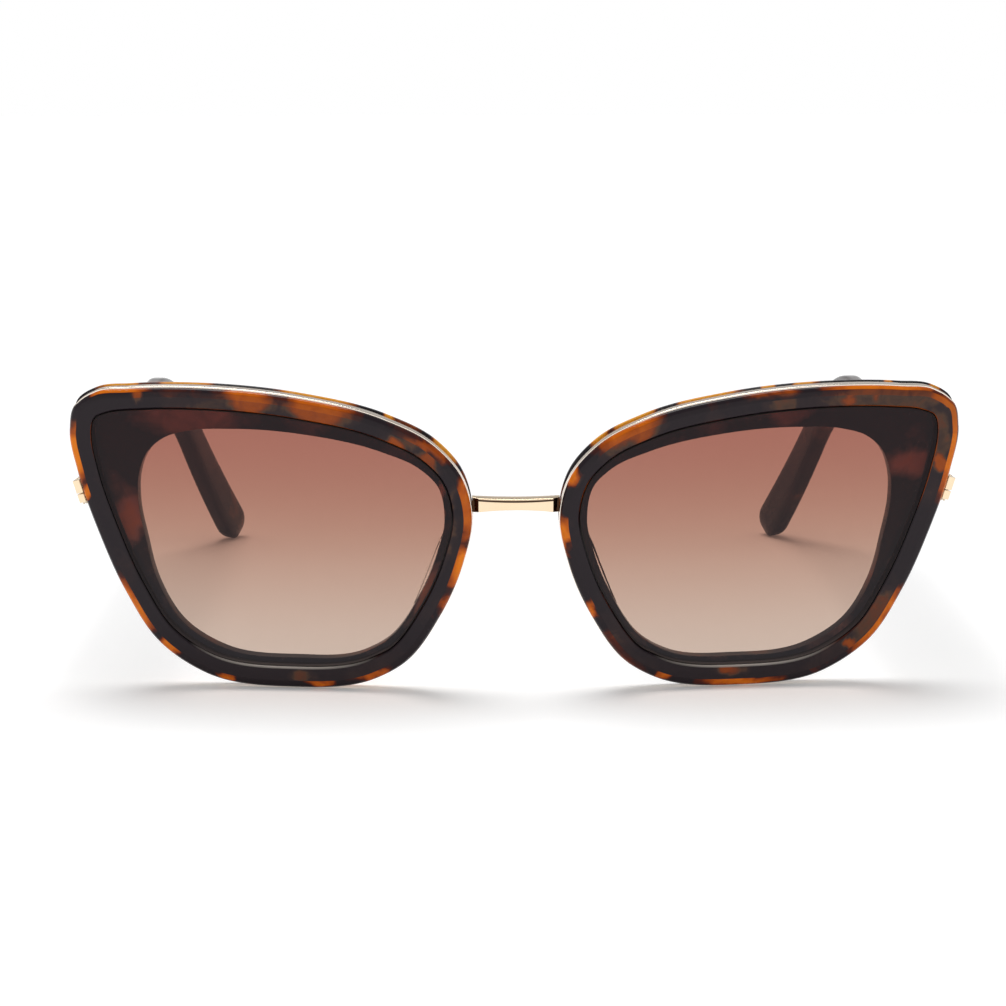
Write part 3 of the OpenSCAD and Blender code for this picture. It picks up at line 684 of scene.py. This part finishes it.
def softened(node, suffix, radius):
    """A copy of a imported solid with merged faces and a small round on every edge."""
    mesh = frame["nodes"][node].data.copy()
    mesh.materials.clear()
    shape = bmesh.new()
    shape.from_mesh(mesh)
    bmesh.ops.remove_doubles(shape, verts=shape.verts, dist=1e-6)
    bmesh.ops.dissolve_limit(shape, angle_limit=flat_within, verts=shape.verts, edges=shape.edges)
    shape.to_mesh(mesh)
    shape.free()
    mesh.shade_smooth()
    piece = bpy.data.objects.new(node + suffix, mesh)
    bpy.context.collection.objects.link(piece)
    bevel = piece.modifiers.new("broken_edges", "BEVEL")
    bevel.width = radius
    bevel.segments = 2
    bevel.limit_method = "ANGLE"
    bevel.angle_limit = edge_from
    bevel.harden_normals = True
    return piece


steel, shader, start = new_finish("plated_screw_steel")
turning = start.cloud(1500, detail=4)
start.feed(shader, "Base Color", turning.mixed((0.700, 0.600, 0.460, 1), (0.800, 0.700, 0.560, 1)))
start.feed(shader, "Roughness", 0.20 + 0.15 * turning)
start.feed(shader, "Normal", start.bump(turning, 0.05, 0.0001))
shader.inputs["Metallic"].default_value = 1

for name in ("left", "right"):
    for node, body in (("upper_lock", "front"), ("lower_lock", "front"), ("endpiece", "front"),
                       ("hinge_leaf", name + "_arm")):
        fitting = softened(name + "_" + node, "_gold", fitting_round)
        fitting.data.materials.append(gold)
        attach(fitting, body)
        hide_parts(name + "_" + node)
for node in ("closing_screws", "hinge_screws"):
    screws = softened(node, "_steel", screw_round)
    screws.data.materials.append(steel)
    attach(screws, "front")
    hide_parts(node)

# CORE WIRES
# Flat steel wires, shot hot into the temples so that these can be bent to the ear. They lie inside
# the acetate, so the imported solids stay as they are.
core, shader, start = new_finish("core_wire_steel")
grain = start.cloud(900, detail=3, stretch=(1, 0.1, 1))
start.feed(shader, "Base Color", grain.mixed((0.500, 0.500, 0.510, 1), (0.640, 0.640, 0.640, 1)))
start.feed(shader, "Roughness", 0.28 + 0.2 * grain)
shader.inputs["Metallic"].default_value = 1
for node in ("left_core_wire", "right_core_wire"):
    packed = frame["nodes"][node].data
    packed.materials.clear()
    packed.materials.append(core)

# TEMPLES
# Arms of the same acetate sheet, shaped and tumbled to a soft oval section, thinner at the waist,
# bent down behind the ear and turned in to lie against the head. A metal cap closes the front end.
temple_t, temple_h, waist_h, tip_h = 3.8, 7.4, 6, 8
temple_out, temple_run, tip_len = 0.9, 93, 54
bend_r, bend_angle = 28, math.radians(57)
panto, toe_in, tip_turn = (math.radians(a) for a in (5.5, 0.2, 18))
tip_in, tip_power = 12, 1.5
hinge_back, hinge_up, cap_t = 7.4, 0.3, 0.8
temple_sides, temple_steps, temple_square, temple_dark = 44, 150, 0.5, 0.14
tip_degrees = (0, 12, 24, 35, 45, 54, 62, 69, 75, 80, 84, 87)
lock_place = bent(along(rim_points, lock_t), 0)
outer_x = lock_place.x + temple_out
hinge_y = lock_place.y + hinge_back
hinge_z = lock_z + hinge_up
temple_front = cap_t / 2 + seat_gap
temple_len = temple_run + tip_len
bend_len = bend_r * bend_angle


def slope(s):
    """How steeply the temple falls, so far from the hinge."""
    return panto + min(bend_angle, max(0, (s - temple_run) / bend_r))


def temple_path(s):
    """Middle of the temple, so far from the hinge: straight, then the bend, then the tip."""
    a, straight, rest = slope(s), min(s, temple_run), max(0, s - temple_run - bend_len)
    lean = s * math.tan(toe_in) + tip_in * (max(0, s - temple_run) / tip_len)**tip_power
    return Vector((
        outer_x - temple_t / 2 - lean,
        hinge_y + straight * math.cos(panto)
        + bend_r * (math.sin(a) - math.sin(panto)) + rest * math.cos(a),
        hinge_z - straight * math.sin(panto)
        - bend_r * (math.cos(panto) - math.cos(a)) - rest * math.sin(a)))


def eased(f):
    return (1 - math.cos(math.pi * min(1, max(0, f)))) / 2


def temple_height(s):
    return (temple_h + (waist_h - temple_h) * eased(s / temple_run)
            + (tip_h - waist_h) * eased((s - temple_run) / tip_len))


def squared(wave):
    return math.copysign(abs(wave)**temple_square, wave)


def temple_ring(s, t, h):
    """The temple cut across: a squared oval, turned with the tip."""
    cut = slope(s) if s > temple_front else 0
    twist = tip_turn * max(0, s - temple_run) / tip_len
    result = []
    for i in range(temple_sides):
        a = (i + 0.5) * math.tau / temple_sides
        px, pz = squared(math.cos(a)) * t / 2, squared(math.sin(a)) * h / 2
        x = px * math.cos(twist) - pz * math.sin(twist)
        z = px * math.sin(twist) + pz * math.cos(twist)
        result.append(temple_path(s) + Vector((x, z * math.sin(cut), z * math.cos(cut))))
    return result


tip_r = tip_h / 2
temple_places = [
    temple_front + (temple_len - tip_r - temple_front) * i / temple_steps for i in range(temple_steps)]
temple_rings = [temple_ring(s, temple_t, temple_height(s)) for s in temple_places]
for degree in tip_degrees:
    a = math.radians(degree)
    s = temple_len - tip_r + tip_r * math.sin(a)
    temple_rings.append(temple_ring(s, temple_t * math.cos(a), temple_height(s) * math.cos(a)))

for name, side, seed in (("left", -1, 70), ("right", 1, 95)):
    ambers = [sheet_amber(p, seed) - temple_dark for ring in temple_rings for p in ring]
    temple = skinned(name + "_temple_acetate", temple_rings, side,
                     fields={"amber": ambers, "edge": [0] * len(ambers)})
    temple.data.materials.append(tortoise)
    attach(temple, name + "_arm")
    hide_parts(name + "_temple")

# NOSE PADS
# Clear acetate pads, moulded as a soft wedge, bonded to the back of each rim beside the nose and
# polished with it.
pad_low, pad_top, pad_d, pad_edge, pad_over = 7.5, 26.5, 7, 0.9, 0.9
pad_end_w, pad_end_d = 0.9, 0.15
pad_count = 40
pad_shape = ((0, 0), (0.1, 0.45), (0.32, 0.82), (0.6, 1), (0.9, 0.94), (1, 0.6), (1, 0))
pad_rounds = (0.1, 1, 1, 1, 1, 1, 0.1)
pad_from, pad_to = (reach(z, bottom_t, top_t + spans) for z in (pad_low, pad_top))


def pad_section(f):
    """The pad cut across, at a share of its length: full in the middle, thin at both ends."""
    t, swell = pad_from + (pad_to - pad_from) * f, math.sin(math.pi * f)
    p, u = along(rim_points, t), outward(t)
    wide = (p - along(opening_points, t)).length - pad_edge - back_bevel
    w = wide * (pad_end_w + (1 - pad_end_w) * swell) + pad_over * swell
    d = pad_d * (pad_end_d + (1 - pad_end_d) * swell)
    corners = [bent(p - (pad_edge + w * x) * u, rim_t + seat_gap + d * y) for x, y in pad_shape]
    return [q for q, zone in rounded([(c, r, 0, "") for c, r in zip(corners, pad_rounds)])]


clear, shader, start = new_finish("clear_pad_acetate")
haze = start.cloud(300, detail=2)
start.feed(shader, "Base Color", haze.mixed((0.965, 0.955, 0.935, 1), (0.985, 0.980, 0.970, 1)))
start.feed(shader, "Roughness", 0.02 + 0.04 * haze)
shader.inputs["Transmission Weight"].default_value = 1
shader.inputs["IOR"].default_value = 1.2
let_through(start, shader, ("Is Shadow Ray",), (0.92, 0.91, 0.90, 1))

pad_rings = [pad_section(i / pad_count) for i in range(pad_count + 1)]
for name, side in (("left", -1), ("right", 1)):
    pad = skinned(name + "_nose_pad_clear", pad_rings, side, sharp=50)
    pad.data.materials.append(clear)
    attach(pad, "front")
    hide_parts(name + "_nose_pad")

# FLOOR
# A wide sheet of plain white paper, just under the glasses.
floor_half, floor_drop = 3.0, 0.0001
mesh = bpy.data.meshes.new("white_paper")
mesh.from_pydata([(x, y, -floor_drop) for x, y in (
    (-floor_half, -floor_half), (floor_half, -floor_half),
    (floor_half, floor_half), (-floor_half, floor_half))], [], [(0, 1, 2, 3)])
floor = bpy.data.objects.new("white_paper", mesh)
bpy.context.collection.objects.link(floor)
paper, shader, start = new_finish("white_paper")
shader.inputs["Base Color"].default_value = (0.96, 0.96, 0.96, 1)
shader.inputs["Roughness"].default_value = 0.9
shader.inputs["Specular IOR Level"].default_value = 0.1
shader.inputs["Emission Strength"].default_value = 1
paper_glow = (0.15, 0.15, 0.15, 1)
paper.cycles.emission_sampling = "NONE"

# The glow is only for what the camera sees, by itself, mirrored or through glass.
looked_at = any_ray(start, ("Is Camera Ray", "Is Glossy Ray", "Is Transmission Ray"))
start.feed(shader, "Emission Color", looked_at.mixed((0, 0, 0, 1), paper_glow))
floor.data.materials.append(paper)

# LIGHT
# A tent that is white at the level of the table and greyer overhead, and one broad soft lamp.
world = bpy.data.worlds.new("white_tent")
world.use_nodes = True
bpy.context.scene.world = world
start = Socket(world.node_tree)
background = world.node_tree.nodes["Background"]
way = start.node("ShaderNodeTexCoord", output="Generated")
height = start.node("ShaderNodeSeparateXYZ", sockets={0: way}, output="Z")
tent = height.ramp([
    (0.04, (1.0, 1.0, 1.0)), (0.20, (0.60, 0.60, 0.60)), (0.50, (0.38, 0.38, 0.38)),
    (1.0, (0.34, 0.34, 0.34))])
start.feed(background, "Color", tent)

lamp = bpy.data.lights.new("overhead_lamp", "SUN")
lamp.angle = math.radians(36)
lamp.energy = 1.85
overhead = bpy.data.objects.new("overhead_lamp", lamp)
overhead.rotation_euler = (math.radians(-14), math.radians(-6), 0)
overhead.visible_transmission = False
bpy.context.collection.objects.link(overhead)

# CAMERA
# A long lens at the height of a table, a little to the left of the glasses.
camera_data = bpy.data.cameras.new("front_camera")
camera_data.sensor_width = 36
camera_data.lens = 102.71
camera = bpy.data.objects.new("front_camera", camera_data)
camera_place = (-0.008694, -0.516518, 0.104094)
camera_pitch, camera_yaw, camera_roll = (math.radians(a) for a in (9.389, 0.859, -0.088))
camera.matrix_world = (
    Matrix.Translation(camera_place)
    @ Matrix.Rotation(-camera_yaw, 4, "Z")
    @ Matrix.Rotation(math.pi / 2 - camera_pitch, 4, "X")
    @ Matrix.Rotation(camera_roll, 4, "Z"))
bpy.context.collection.objects.link(camera)
bpy.context.scene.camera = camera
bpy.context.scene.view_settings.view_transform = "Standard"
